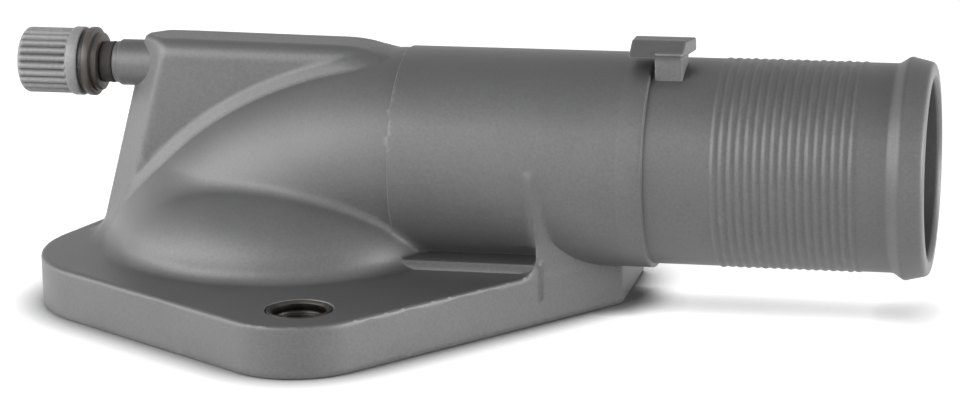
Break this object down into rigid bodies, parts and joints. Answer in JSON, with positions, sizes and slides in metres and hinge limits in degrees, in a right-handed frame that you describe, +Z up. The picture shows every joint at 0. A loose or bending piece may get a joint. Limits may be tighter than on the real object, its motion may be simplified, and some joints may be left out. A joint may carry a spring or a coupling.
{
  "type": "thermostat housing",
  "caption": "Moulded coolant thermostat housing: two-bolt flange, domed chamber, swept elbow under a hollow web, ridged hose spigot and a knurled bleed screw.",
  "frame": {"origin": "on the thermostat chamber's axis, in the plane of the flange's underside, which lies on the engine", "axes": "+X along the hose spigot towards its open end, +Z up out of the engine face, +Y towards the rear bolt's side"},
  "size_m": [0.1448, 0.0976, 0.0427],
  "materials": {
    "housing_nylon": "fine spark-eroded grain, dark grey glass-filled nylon",
    "screw_nylon": "satin moulded nylon",
    "sleeve_steel": "turned, zinc plated",
    "seal_rubber": "matt moulded rubber"
  },
  "bodies": {
    "housing": {"housing_body": "housing_nylon", "bolt_sleeve_front": "sleeve_steel", "bolt_sleeve_rear": "sleeve_steel", "flange_seal": "seal_rubber"},
    "bleed_travel": {"bleed_seal": "seal_rubber"},
    "bleed_screw": {"bleed_screw": "screw_nylon"}
  },
  "joints": [
    {"name": "bleed_travel_slide", "type": "slide", "parent": "housing", "child": "bleed_travel", "axis": [-1, 0, 0], "range_m": [0, 0.002]},
    {"name": "bleed_screw_turn", "type": "hinge", "parent": "bleed_travel", "child": "bleed_screw", "pos_m": [-0.0273, 0, 0.0359], "axis": [-1, 0, 0], "range_deg": [0, 720]}
  ],
  "couplings": [
    {"joint": "bleed_travel_slide", "follows": "bleed_screw_turn", "m_per_rad": 0.000159}
  ]
}
